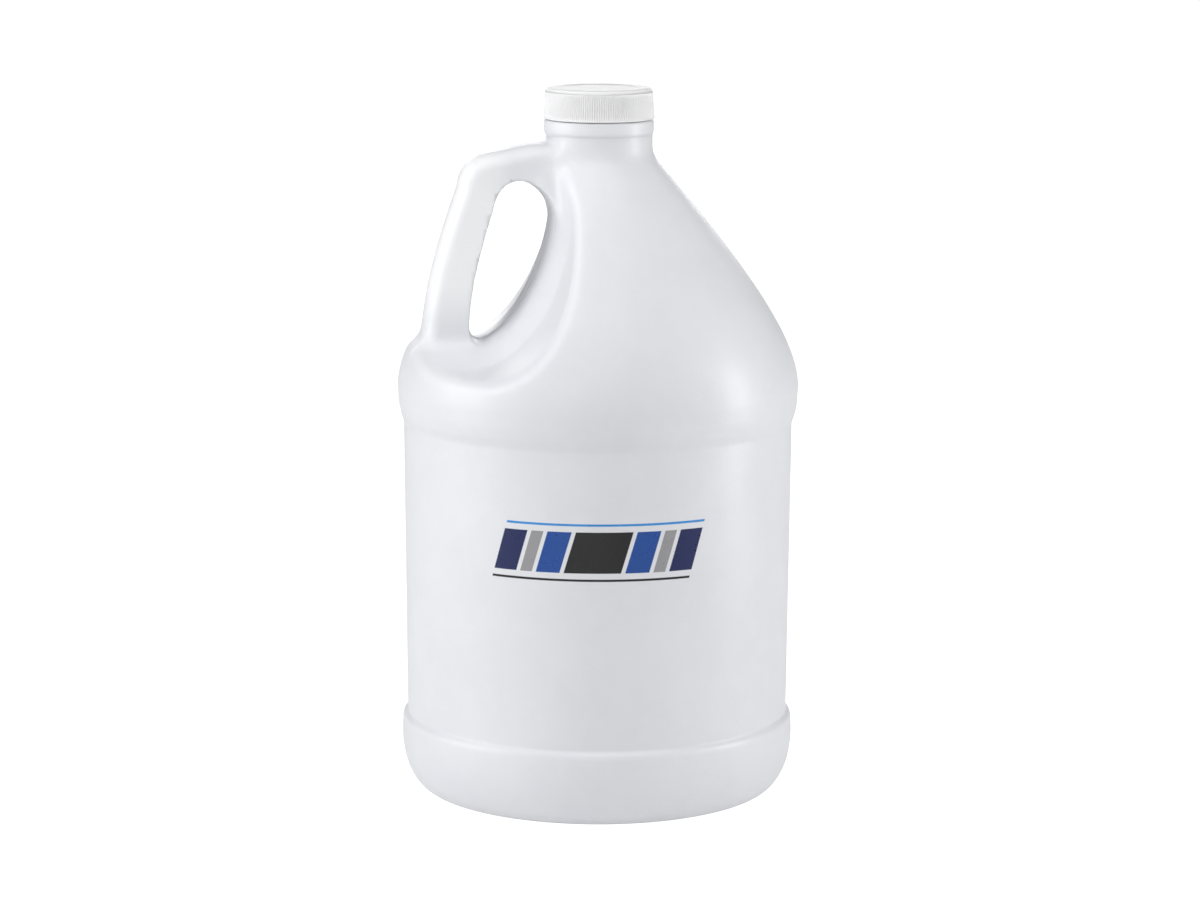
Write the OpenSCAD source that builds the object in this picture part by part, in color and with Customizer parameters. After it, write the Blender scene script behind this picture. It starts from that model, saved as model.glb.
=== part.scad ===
// Plastic gallon jug: a blow-moulded bottle with a hollow side handle, a screw cap and a foam liner.
// Origin at the centre of the foot ring, +Z up, handle towards -X.

/* [Body] */
// Overall height from the table to the top of the cap
total_h = 280.6; // [240:1:320]
// Largest radius of the base band
base_r = 78.3; // [70:0.1:86]
// Height of the step at the top of the base band
base_step_z = 30.8; // [24:0.1:40]
// Radius of the straight panel at its lower end
panel_r_low = 76.1; // [68:0.1:84]
// Radius of the straight panel at its upper end
panel_r_top = 77.2; // [68:0.1:85]
// Height of the step at the bottom of the shoulder
shoulder_step_z = 148.5; // [120:0.5:170]
// Largest radius of the shoulder
shoulder_r = 79.6; // [72:0.1:88]
// Height of the shoulder's widest circle
shoulder_mid_z = 162.5; // [150:0.5:175]
// Thickness of the blown wall
wall = 1.2; // [0.8:0.1:3]

/* [Base] */
// Outer radius of the flat foot ring
foot_r_out = 67; // [60:0.5:72]
// Inner radius of the flat foot ring
foot_r_in = 60; // [50:0.5:66]
// Height of the push-up under the jug
pushup_h = 7; // [3:0.5:14]

/* [Neck] */
// Height where the shoulder runs into the neck
neck_z = 251; // [240:0.5:256]
// Radius of the neck below the collar
neck_r = 21.2; // [18:0.1:24]
// Radius of the collar under the cap
collar_r = 21.7; // [19:0.1:25]
// Height of the lower edge of the collar
collar_z = 261.8; // [257:0.1:263]
// Height of the top face of the collar
collar_top_z = 267.9; // [265:0.1:268]
// Outer radius of the neck finish inside the cap
finish_r = 18.2; // [16:0.1:20]
// Radius of the pouring bore
bore_r = 16.2; // [12:0.1:18]

/* [Handle] */
// Width of the handle across the side that faces the eye
grip_w = 22.8; // [18:0.2:32]
// Width of the handle across its back
back_w = 17.6; // [14:0.2:24]
// Depth of the straight wall of the eye on the bottle's side
land_depth = 16; // [12:0.5:24]
// Radius of the edges along the back of the handle
grip_edge_r = 6; // [2:0.5:7]

/* [Cap] */
// Outer radius of the cap at its lower edge
cap_r_low = 21.9; // [19:0.1:26]
// Outer radius of the cap at its top
cap_r_top = 21.1; // [18:0.1:26]
// Height of the cap
cap_h = 12.2; // [10:0.1:20]
// Radius of the edge round the cap's top
cap_edge_r = 1.6; // [0.3:0.1:2]
// Thickness of the cap's top plate
cap_plate_t = 1.6; // [1:0.1:3]
// Inner radius of the cap's skirt
cap_bore_r = 19.6; // [17:0.1:22]
// Number of ribs round the cap
rib_count = 150; // [60:10:180]
// Height of each rib above the skirt
rib_h = 0.3; // [0.1:0.05:0.8]
// Width of each rib
rib_w = 0.45; // [0.2:0.05:0.8]
// Thickness of the foam liner
liner_t = 1; // [0.5:0.1:2]
// Radius of the foam liner
liner_r = 19.2; // [16:0.1:20]

/* [Hidden] */

jug_color = [0.86, 0.87, 0.91];
cap_color = [0.95, 0.95, 0.96];
liner_color = [0.90, 0.90, 0.86];

turn_fn = 72;
cap_z = total_h - cap_h;
lip_z = total_h - cap_plate_t - liner_t;
land_half = land_depth / 2;
grip_half = grip_w / 2;
back_half = back_w / 2;

// A point of a cubic curve through a and d, drawn by the handles b and c
function bez(a, b, c, d, t) =
    a * pow(1 - t, 3) + b * 3 * t * pow(1 - t, 2) + c * 3 * t * t * (1 - t) + d * pow(t, 3);

// Curve points from t0 to 1 in n equal steps
function curve(a, b, c, d, n, first = 0) = [for (i = [first:n]) bez(a, b, c, d, i / n)];

foot_to_band = curve([foot_r_out, 0], [foot_r_out + 5, 0.4], [base_r - 0.2, 8], [base_r, 22.5], 5);
band_to_panel = [
    [base_r - 0.2, base_step_z - 2.4],
    [base_r - 0.9, base_step_z - 0.6],
    [panel_r_low, base_step_z + 0.4]
];
panel_to_bulge = [
    [panel_r_top, shoulder_step_z],
    [panel_r_top + 1.2, shoulder_step_z + 3.4],
    [shoulder_r - 0.4, shoulder_mid_z - 6.6]
];
shoulder = curve([shoulder_r, shoulder_mid_z], [shoulder_r, shoulder_mid_z + 17],
                 [62.2, neck_z - 45], [24, neck_z], 9);
flare = curve([24, neck_z], [22.3, neck_z + 2], [neck_r, neck_z + 4], [neck_r, neck_z + 7], 3, 1);

// Half outline of the bottle, from the middle of the base to the bottom of the collar
lower_outline = concat(
    [[0, pushup_h], [foot_r_in * 0.62, pushup_h * 0.86], [foot_r_in - 4, pushup_h * 0.3], [foot_r_in, 0]],
    foot_to_band, band_to_panel, panel_to_bulge, shoulder, flare
);

// Outline of the neck with its collar, taken in by t
module neck_outline(t) {
    polygon(concat(lower_outline, [
        [neck_r, collar_z],
        [collar_r, collar_z + 0.8],
        [collar_r, collar_top_z - 1.7],
        [collar_r - 0.5, collar_top_z - 0.5],
        [collar_r - 1.7, collar_top_z],
        [finish_r, collar_top_z],
        [finish_r, lip_z],
        [0, lip_z]
    ]));
}

// The turned bottle without its handle, with every wall taken in by t
module turned(t) {
    rotate_extrude($fn = turn_fn)
        if (t == 0) neck_outline(0);
        else intersection() {
            offset(delta = -t)
                union() {
                    polygon(concat(lower_outline, [[neck_r, collar_z + 1], [0, collar_z + 1]]));
                    mirror([1, 0]) polygon(concat(lower_outline, [[neck_r, collar_z + 1], [0, collar_z + 1]]));
                }
            translate([0, 0]) square([200, 400]);
        }
}

// The rim of the handle's eye, seen square on, as four curves that follow each other round
eye_rim = concat(
    curve([-19.6, 231], [-20.8, 210], [-37, 183.2], [-47, 181.9], 12, 1),
    curve([-47, 181.9], [-50.6, 181.2], [-52.6, 184.2], [-51.9, 190], 5, 1),
    curve([-51.9, 190], [-51, 206], [-46, 222], [-42.5, 233.5], 6, 1),
    curve([-42.5, 233.5], [-39.5, 251.5], [-20.6, 245], [-19.6, 231], 14, 1)
);

// The edge of the pocket where it starts at the eye
inner_edge = concat(
    [[-110, 266], [-24, 266], [-20, 256]],
    curve([-20.6, 240], [-20.8, 216], [-34.6, 183.6], [-52, 183], 12),
    [[-72, 180.8], [-110, 178.5]]
);

// The edge of the pocket where it meets the outside of the shoulder
outer_edge = concat(
    [[-110, 268], [-22, 268], [-17, 256]],
    curve([-13.2, 238], [-12.5, 211], [-26.5, 172.5], [-57, 172], 12),
    [[-72, 173], [-110, 177]]
);

// The points a share s of the way from one edge to another
function between(a, b, s) = [for (i = [0:len(a) - 1]) a[i] * (1 - s) + b[i] * s];

// A thin sheet with the given edge, at depth y from the parting plane and let out by t
module sheet(edge, y, t) {
    translate([0, -y, 0]) rotate([90, 0, 0]) linear_extrude(0.02) offset(delta = t) polygon(edge);
}

// The eye of the handle, let out by t
module eye(t) {
    translate([0, 60, 0]) rotate([90, 0, 0]) linear_extrude(120) offset(delta = t) polygon(eye_rim);
}

// The pocket beside the handle on one face: straight as deep as the eye, then opening to a steeper outer wall
module pocket(t) {
    knee_y = land_half + 28.5;
    rim_y = land_half + 51;
    hull() {
        sheet(inner_edge, -0.02, t);
        sheet(inner_edge, land_half, t);
        sheet(between(inner_edge, outer_edge, 0.85), knee_y, t);
        sheet(outer_edge, rim_y, t);
        sheet(outer_edge, rim_y + 30, t);
    }
}

// One cross-section of the handle: o is the outer point, i the inner point, wo and wi the half widths there
module slice(o, i, wo, wi, t) {
    d = i - o;
    len = norm(d);
    e = max(grip_edge_r - t, 0.8);
    translate([o[0], 0, o[1]]) rotate([0, -atan2(d[1], d[0]), 0])
        linear_extrude(0.02)
            hull() {
                translate([t + e, wo - t - e]) circle(r = e, $fn = 16);
                translate([t + e, -(wo - t - e)]) circle(r = e, $fn = 16);
                translate([len - t - 2, wi - t - 2]) circle(r = 2, $fn = 8);
                translate([len - t - 2, -(wi - t - 2)]) circle(r = 2, $fn = 8);
            }
}

// The stations of the handle from the shoulder up to the neck
stations = [
    [[-70.4, 164], [-48, 164], back_half + 3.7, grip_half + 1.1],
    [[-70.6, 176], [-50, 177], back_half + 2.8, grip_half + 0.6],
    [[-70.5, 184], [-49.6, 185], back_half + 1.6, grip_half],
    [[-69.3, 194], [-50.4, 190.6], back_half + 0.4, grip_half],
    [[-67.0, 207], [-49.3, 202.6], back_half - 0.2, grip_half],
    [[-63.0, 222], [-45.7, 216.6], back_half - 0.2, grip_half],
    [[-58.4, 236], [-41.7, 229.5], back_half, grip_half],
    [[-55.4, 244.2], [-40.2, 234.8], back_half + 0.2, grip_half],
    [[-54.2, 248.2], [-38.8, 236.9], back_half + 0.4, grip_half],
    [[-51.6, 250.8], [-36.6, 239.2], back_half + 0.6, grip_half],
    [[-45.0, 253.4], [-33.6, 240.6], back_half + 1.0, grip_half + 0.2],
    [[-36.4, 256.4], [-30.6, 240.6], back_half + 2.0, grip_half + 0.6],
    [[-28.0, 258.4], [-25.0, 238.4], back_half + 4.0, grip_half + 1.6],
    [[-21.0, 259.6], [-18.5, 233.0], back_half + 6.3, grip_half + 4.5],
    [[-12.0, 260.2], [-12.0, 230.0], back_half + 6.9, grip_half + 8.1]
];

// The hollow handle as a chain of blended sections, taken in by t
module grip(t) {
    for (k = [0:len(stations) - 2])
        hull() {
            slice(stations[k][0], stations[k][1], stations[k][2], stations[k][3], t);
            slice(stations[k + 1][0], stations[k + 1][1], stations[k + 1][2], stations[k + 1][3], t);
        }
}

// The whole bottle as a solid, with its surface taken in by t
module bottle(t) {
    difference() {
        union() {
            difference() {
                turned(t);
                pocket(t);
                mirror([0, 1, 0]) pocket(t);
            }
            grip(t);
        }
        eye(t);
    }
}

module jug_body() {
    color(jug_color)
        difference() {
            bottle(0);
            bottle(wall);
            translate([0, 0, collar_z - 6]) cylinder(r = bore_r, h = total_h - collar_z + 12, $fn = turn_fn);
        }
}

// One upright rib that follows the taper of the skirt
module rib(z0, z1) {
    lean = atan((cap_r_low - cap_r_top) / cap_h);
    r = cap_r_low - rib_h - (z0 - cap_z) * tan(lean);
    translate([r, 0, z0]) rotate([0, -lean, 0])
        translate([-0.6, -rib_w / 2, 0]) cube([0.6 + rib_h, rib_w, z1 - z0]);
}

module cap() {
    color(cap_color) {
        band_h = 0.9;
        skirt_r = cap_r_low - rib_h;
        top_r = cap_r_top - rib_h;
        difference() {
            union() {
                rotate_extrude($fn = 96)
                    polygon([
                        [0, cap_z], [cap_r_low - 0.2, cap_z], [cap_r_low, cap_z + 0.2],
                        [cap_r_low, cap_z + band_h - 0.2], [skirt_r, cap_z + band_h],
                        [top_r, total_h - cap_edge_r - 0.6], [cap_r_top, total_h - cap_edge_r - 0.4],
                        [cap_r_top - cap_edge_r * 0.29, total_h - cap_edge_r * 0.29],
                        [cap_r_top - cap_edge_r, total_h], [0, total_h]
                    ]);
                for (k = [0:rib_count - 1])
                    rotate([0, 0, k * 360 / rib_count]) rib(cap_z + band_h - 0.3, total_h - cap_edge_r - 0.3);
            }
            translate([0, 0, cap_z - 1]) cylinder(r = cap_bore_r, h = cap_h - cap_plate_t + 1, $fn = 96);
        }
    }
}

module cap_liner() {
    color(liner_color)
        translate([0, 0, lip_z + 0.02]) cylinder(r = liner_r, h = liner_t - 0.04, $fn = 96);
}

jug_body();
cap();
cap_liner();
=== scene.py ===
"""Plastic gallon jug, dressed for a studio picture.

The blown bottle is a level surface: a signed depth is worked out from the turned outline, the drafted
pockets, the hollow handle and its eye, all blended with soft fillets, and its zero surface is netted on a
cylindrical grid. The neck finish, the cap and the liner are closed outlines turned about the upright axis.
"""
from __future__ import annotations

import logging
import math
from dataclasses import dataclass, field
from enum import Enum

import bmesh
import bpy
import numpy as np
from mathutils import Euler, Matrix

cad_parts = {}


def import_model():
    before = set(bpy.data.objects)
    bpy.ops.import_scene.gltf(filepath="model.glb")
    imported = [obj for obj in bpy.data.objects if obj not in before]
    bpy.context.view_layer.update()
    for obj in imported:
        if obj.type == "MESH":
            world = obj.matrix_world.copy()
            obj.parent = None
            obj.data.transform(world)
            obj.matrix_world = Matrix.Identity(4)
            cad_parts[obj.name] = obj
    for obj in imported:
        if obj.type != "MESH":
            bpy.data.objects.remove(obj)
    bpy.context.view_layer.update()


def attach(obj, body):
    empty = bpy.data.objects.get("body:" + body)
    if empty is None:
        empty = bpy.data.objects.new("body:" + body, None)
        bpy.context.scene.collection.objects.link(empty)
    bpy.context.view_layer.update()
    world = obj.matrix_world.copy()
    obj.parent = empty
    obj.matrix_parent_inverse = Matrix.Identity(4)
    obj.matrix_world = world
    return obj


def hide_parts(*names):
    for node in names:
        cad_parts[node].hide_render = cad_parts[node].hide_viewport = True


LOG = logging.getLogger("jug")
MM = 0.001
Array = np.ndarray


def smooth_min(a: Array, b: Array, k: float) -> Array:
    """Blends two depths into the smaller one.

    The rule is min(a, b) less k / 4 times the square of the share by which they are closer than k.

    Args:
        a: First depth.
        b: Second depth.
        k: Width of the blend.

    Returns:
        The blended depth.
    """
    h = np.maximum(k - np.abs(a - b), 0.0) / k
    return np.minimum(a, b) - h * h * k * 0.25


def smooth_max(a: Array, b: Array, k: float) -> Array:
    """Blends two depths into the larger one, as smooth_min does with both signs turned."""
    return -smooth_min(-a, -b, k)


def cubic(a: tuple, b: tuple, c: tuple, d: tuple, count: int) -> Array:
    """Points of a cubic curve from a to d, drawn by the handles b and c.

    Args:
        a: Start.
        b: First handle.
        c: Second handle.
        d: End.
        count: Number of points.

    Returns:
        An array with one point a row.
    """
    t = np.linspace(0.0, 1.0, count)[:, None]
    start, first, second, end = (np.array(p, float) for p in (a, b, c, d))
    return start * (1 - t) ** 3 + first * 3 * t * (1 - t) ** 2 + second * 3 * t * t * (1 - t) + end * t**3


class PlanForm:
    """A closed curve in the parting plane, kept as a smooth map of signed distances, in millimetres."""

    left: float = -114.0
    right: float = 6.0
    low: float = 156.0
    high: float = 274.0
    cell: float = 0.45

    def __init__(self, points: Array) -> None:
        """Measures the distance from each node of a square grid to the curve.

        The distance is that to the nearest side, and it is negative where a line to the left crosses the
        curve an odd number of times.

        Args:
            points: The curve's points, one a row.
        """
        gx, gz = np.meshgrid(np.arange(self.left, self.right, self.cell),
                             np.arange(self.low, self.high, self.cell), indexing="ij")
        best = np.full(gx.shape, 1e9)
        odd = np.zeros(gx.shape, bool)
        for a, b in zip(points, np.roll(points, -1, axis=0)):
            side = b - a
            px, pz = gx - a[0], gz - a[1]
            t = np.clip((px * side[0] + pz * side[1]) / max(side @ side, 1e-9), 0.0, 1.0)
            best = np.minimum(best, np.hypot(px - t * side[0], pz - t * side[1]))
            spans = (a[1] > gz) != (b[1] > gz)
            odd ^= spans & (gx > a[0] + pz * side[0] / (side[1] if side[1] else 1e-9))
        self.map = np.where(odd, -best, best)

    def depth(self, x: Array, z: Array) -> Array:
        """Reads the map with a quadratic spline through the nine nodes round each place."""
        u, w = (x - self.left) / self.cell, (z - self.low) / self.cell
        i = np.clip(np.rint(u).astype(int), 1, self.map.shape[0] - 2)
        k = np.clip(np.rint(w).astype(int), 1, self.map.shape[1] - 2)
        f, g = np.clip(u - i, -0.5, 0.5), np.clip(w - k, -0.5, 0.5)
        wf = (0.5 * (0.5 - f) ** 2, 0.75 - f * f, 0.5 * (0.5 + f) ** 2)
        wg = (0.5 * (0.5 - g) ** 2, 0.75 - g * g, 0.5 * (0.5 + g) ** 2)
        return sum(wf[a] * wg[b] * self.map[i + a - 1, k + b - 1] for a in range(3) for b in range(3))


def mesh_object(name: str, verts_mm: Array, faces: list) -> bpy.types.Object:
    """Makes a smooth-shaded object from points in millimetres.

    Args:
        name: Name of the object.
        verts_mm: One point a row.
        faces: Arrays of corner numbers, each with one face a row.

    Returns:
        The new object, linked to the scene.
    """
    mesh = bpy.data.meshes.new(name)
    flat = [f for block in faces for f in np.asarray(block, int).tolist()]
    mesh.from_pydata((np.asarray(verts_mm) * MM).tolist(), [], flat)
    mesh.polygons.foreach_set("use_smooth", np.ones(len(mesh.polygons), bool))
    mesh.update()
    obj = bpy.data.objects.new(name, mesh)
    bpy.context.scene.collection.objects.link(obj)
    return obj


@dataclass
class TurnedOutline:
    """The half outline of the bottle, as a radius for each height, in millimetres."""

    base_r: float = 78.3
    base_step_z: float = 30.8
    panel_r_low: float = 76.1
    panel_r_top: float = 77.2
    shoulder_step_z: float = 148.5
    shoulder_r: float = 79.6
    shoulder_mid_z: float = 162.5
    foot_r_out: float = 67.0
    foot_r_in: float = 60.0
    pushup_h: float = 7.0
    neck_z: float = 251.0
    neck_foot_r: float = 24.0
    neck_r: float = 21.25
    dome_run: float = 16.0
    dome_crown_h: float = 1.2
    dome_crown_r: float = 45.0
    weld_h: float = 0.45
    weld_w: float = 1.1
    weld_end_x: float = 52.0
    weld_fade: float = 6.0
    foot_blend: float = 1.0
    step_mm: float = 0.1
    corner_blur: float = 0.45
    blur_steps: int = 12
    heights: Array = field(init=False)
    radii: Array = field(init=False)
    slopes: Array = field(init=False)

    def __post_init__(self) -> None:
        """Samples the outline finely and softens its corners."""
        neck_foot = (self.neck_foot_r, self.neck_z)
        pts = np.concatenate([
            cubic((self.foot_r_out, 0), (self.foot_r_out + 5, 0.4),
                  (self.base_r - 0.2, 8), (self.base_r, 22.5), 60),
            [[self.base_r - 0.2, self.base_step_z - 2.2], [self.base_r - 0.7, self.base_step_z - 0.6],
             [self.panel_r_low, self.base_step_z + 0.5], [self.panel_r_top, self.shoulder_step_z],
             [self.panel_r_top + 1.2, self.shoulder_step_z + 3.4],
             [self.shoulder_r - 0.4, self.shoulder_mid_z - 6.6]],
            cubic((self.shoulder_r, self.shoulder_mid_z), (self.shoulder_r, self.shoulder_mid_z + 17),
                  (62.2, self.neck_z - 45), neck_foot, 120),
            cubic(neck_foot, (22.3, self.neck_z + 2), (self.neck_r, self.neck_z + 4),
                  (self.neck_r, self.neck_z + 7), 30)[1:],
            [[self.neck_r, 300.0]],
        ])
        self.heights = np.arange(0.0, 290.0, self.step_mm)
        raw = np.interp(self.heights, pts[:, 1], pts[:, 0])
        reach = np.arange(-self.blur_steps, self.blur_steps + 1) * self.step_mm
        kernel = np.exp(-0.5 * (reach / self.corner_blur) ** 2)
        kernel /= kernel.sum()
        padded = np.pad(raw, self.blur_steps, mode="reflect", reflect_type="odd")
        self.radii = np.convolve(padded, kernel, mode="valid")
        self.slopes = np.gradient(self.radii, self.step_mm)

    def depth(self, r: Array, y: Array, x: Array, z: Array) -> Array:
        """Signed depth of the turned bottle: sideways distance over the slope, joined to the underside.

        Args:
            r: Distance from the upright axis.
            y: Distance from the parting plane.
            x: Distance along the parting plane.
            z: Height.

        Returns:
            The depth, negative inside.
        """
        radius = np.interp(z, self.heights, self.radii)
        slope = np.interp(z, self.heights, self.slopes)
        side = (r - radius) / np.sqrt(1.0 + slope * slope)
        rise = np.clip((self.foot_r_in + 1.0 - r) / self.dome_run, 0.0, 1.0)
        crown = self.dome_crown_h * np.clip(1.0 - r / self.dome_crown_r, 0.0, 1.0)
        dome = self.pushup_h * rise * rise * (3.0 - 2.0 * rise) + crown
        along = np.clip((self.weld_end_x - np.abs(x)) / self.weld_fade, 0.0, 1.0)
        weld = self.weld_h * np.exp(-((y / self.weld_w) ** 2)) * along
        return smooth_max(side, dome - weld - z, self.foot_blend)


@dataclass
class HandleForm:
    """The hollow handle, its eye and the drafted pockets beside it, in millimetres.

    Each station across the handle gives x and z of its outer side, x and z of its inner side, and the
    half widths there.
    """

    land_half: tuple = (5.2, 8.4)
    land_z: tuple = (238.0, 192.0)
    step_share: float = 0.10
    step_w: float = 0.8
    draft: float = 0.0298
    knee_share: float = 0.85
    knee_away: float = 28.5
    knee_draft: float = 0.0067
    knee_blend: float = 0.06
    share_limit: float = 1.02
    flash_h: float = 0.45
    flash_w: float = 0.9
    eye_draft: float = 0.05
    edge_r: tuple = (7.2, 2.4)
    eye_curves: tuple = (
        ((-19.6, 231), (-20.8, 210), (-37, 183.2), (-47, 181.9), 60),
        ((-47, 181.9), (-50.6, 181.2), (-52.6, 184.2), (-51.9, 190), 16),
        ((-51.9, 190), (-51, 206), (-46, 222), (-42.5, 233.5), 30),
        ((-42.5, 233.5), (-39.5, 251.5), (-20.6, 245), (-19.6, 231), 40),
    )
    inner_edge: tuple = ((-19.9, 240), (-20.3, 216), (-34.9, 183.3), (-52, 182.4), 80)
    inner_ends: tuple = (((-110, 266), (-24, 266), (-20, 256)), ((-72, 180.8), (-110, 178.5)))
    outer_edge: tuple = ((-13.2, 238), (-12.5, 211), (-26.5, 172.5), (-57, 172), 80)
    outer_ends: tuple = (((-110, 268), (-22, 268), (-17, 256)), ((-72, 173), (-110, 177)))
    stations: tuple = (
        (-70.4, 164.0, -48.0, 164.0, 12.5, 12.5),
        (-70.6, 176.0, -50.0, 177.0, 11.6, 12.0),
        (-70.5, 184.0, -49.6, 185.0, 10.4, 11.4),
        (-69.3, 194.0, -50.4, 190.6, 9.2, 11.4),
        (-67.0, 207.0, -49.3, 202.6, 8.6, 11.4),
        (-63.0, 222.0, -45.7, 216.6, 8.6, 11.4),
        (-58.4, 236.0, -41.7, 229.5, 8.8, 11.4),
        (-55.4, 244.2, -40.2, 234.8, 9.0, 11.4),
        (-54.3, 248.4, -38.8, 236.9, 9.2, 11.4),
        (-52.0, 251.3, -36.6, 239.2, 9.4, 11.4),
        (-45.1, 254.0, -33.6, 240.6, 9.8, 11.6),
        (-36.4, 257.0, -30.6, 240.6, 10.8, 12.0),
        (-28.0, 259.0, -25.0, 238.4, 12.8, 13.0),
        (-21.0, 260.0, -18.5, 233.0, 15.1, 15.9),
        (-12.0, 260.4, -12.0, 230.0, 15.7, 19.5),
    )
    path: Array = field(init=False)
    rim: PlanForm = field(init=False)
    inner: PlanForm = field(init=False)
    outer: PlanForm = field(init=False)

    def __post_init__(self) -> None:
        """Draws the eye and the pocket's edges, and runs smooth curves through the stations."""
        self.rim = PlanForm(np.concatenate([cubic(*c)[1:] for c in self.eye_curves]))
        self.inner, self.outer = (
            PlanForm(np.concatenate([ends[0], cubic(*edge), ends[1]]).astype(float))
            for edge, ends in ((self.inner_edge, self.inner_ends), (self.outer_edge, self.outer_ends)))
        knots = np.array(self.stations)
        padded = np.vstack([2 * knots[0] - knots[1], knots, 2 * knots[-1] - knots[-2]])
        t = np.linspace(0.0, 1.0, 9)[:-1][None, :, None]
        a, b, c, d = (padded[i:len(padded) - 3 + i][:, None, :] for i in range(4))
        curve = 0.5 * (2 * b + (c - a) * t + (2 * a - 5 * b + 4 * c - d) * t**2
                       + (3 * b - a - 3 * c + d) * t**3)
        self.path = np.vstack([curve.reshape(-1, 6), knots[-1]])

    def eye(self, x: Array, y: Array, z: Array) -> Array:
        """Signed distance to the eye, less a fine flash line along the parting plane."""
        flash = self.flash_h * np.exp(-((y / self.flash_w) ** 2))
        return self.rim.depth(x, z) + flash - self.eye_draft * np.abs(y)

    def pocket(self, x: Array, y: Array, z: Array) -> Array:
        """Signed distance to the pockets beside the handle.

        Near the parting plane the edge is the inner one, over a land that widens downwards. From there a
        small step and a slope take it towards the outer edge, up to a soft knee past which it hardly climbs.

        Args:
            x: Distances along the parting plane.
            y: Distances from the parting plane.
            z: Heights.

        Returns:
            The depth, negative inside a pocket.
        """
        land = np.interp(z, self.land_z[::-1], self.land_half[::-1])
        away = np.maximum(np.abs(y) - land, 0.0)
        climb = self.draft * away + self.step_share * np.clip(away / self.step_w, 0.0, 1.0)
        knee = self.knee_share + self.knee_draft * (away - self.knee_away)
        share = np.clip(smooth_min(climb, knee, self.knee_blend), 0.0, self.share_limit)
        return (1.0 - share) * self.inner.depth(x, z) + share * self.outer.depth(x, z)

    def grip(self, x: Array, y: Array, z: Array) -> Array:
        """Signed distance to the handle: a rounded section carried along its path.

        The nearest side of the path gives the place along it. There the section is a box as deep as the
        path is wide, with half widths and roundings that run from the outer to the inner side.

        Args:
            x: Distances along the parting plane.
            y: Distances from the parting plane.
            z: Heights.

        Returns:
            The distance, negative inside.
        """
        outer, inner = self.path[:, 0:2], self.path[:, 2:4]
        mid = (outer + inner) / 2
        half = np.linalg.norm(inner - outer, axis=1) / 2
        best = np.full(x.shape, 1e9)
        par, side, past = np.zeros((3, *x.shape))
        last = len(mid) - 2
        for k in range(len(mid) - 1):
            sx, sz = mid[k + 1] - mid[k]
            ll = sx * sx + sz * sz
            length = math.sqrt(ll)
            px, pz = x - mid[k, 0], z - mid[k, 1]
            raw = (px * sx + pz * sz) / ll
            t = np.clip(raw, 0.0, 1.0)
            dx, dz = px - t * sx, pz - t * sz
            dist = dx * dx + dz * dz
            closer = dist < best
            best = np.where(closer, dist, best)
            par = np.where(closer, k + t, par)
            side = np.where(closer, (px * sz - pz * sx) / length, side)
            over = np.maximum(-raw if k == 0 else raw - 1.0, 0.0) if k in (0, last) else 0.0
            past = np.where(closer, over * length, past)
        index = np.arange(len(mid))
        a = np.interp(par, index, half)
        wo = np.interp(par, index, self.path[:, 4])
        wi = np.interp(par, index, self.path[:, 5])
        share = np.clip(0.5 + 0.5 * side / np.maximum(a, 1e-6), 0.0, 1.0)
        w = wo + (wi - wo) * share * share * (3 - 2 * share)
        e = self.edge_r[0] + (self.edge_r[1] - self.edge_r[0]) * share
        q1, q2, q3 = np.abs(side) - a + e, np.abs(y) - w + e, past
        out = np.sqrt(np.maximum(q1, 0.0) ** 2 + np.maximum(q2, 0.0) ** 2 + np.maximum(q3, 0.0) ** 2)
        return np.minimum(np.maximum(q1, q2), 0.0) + out - e


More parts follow.
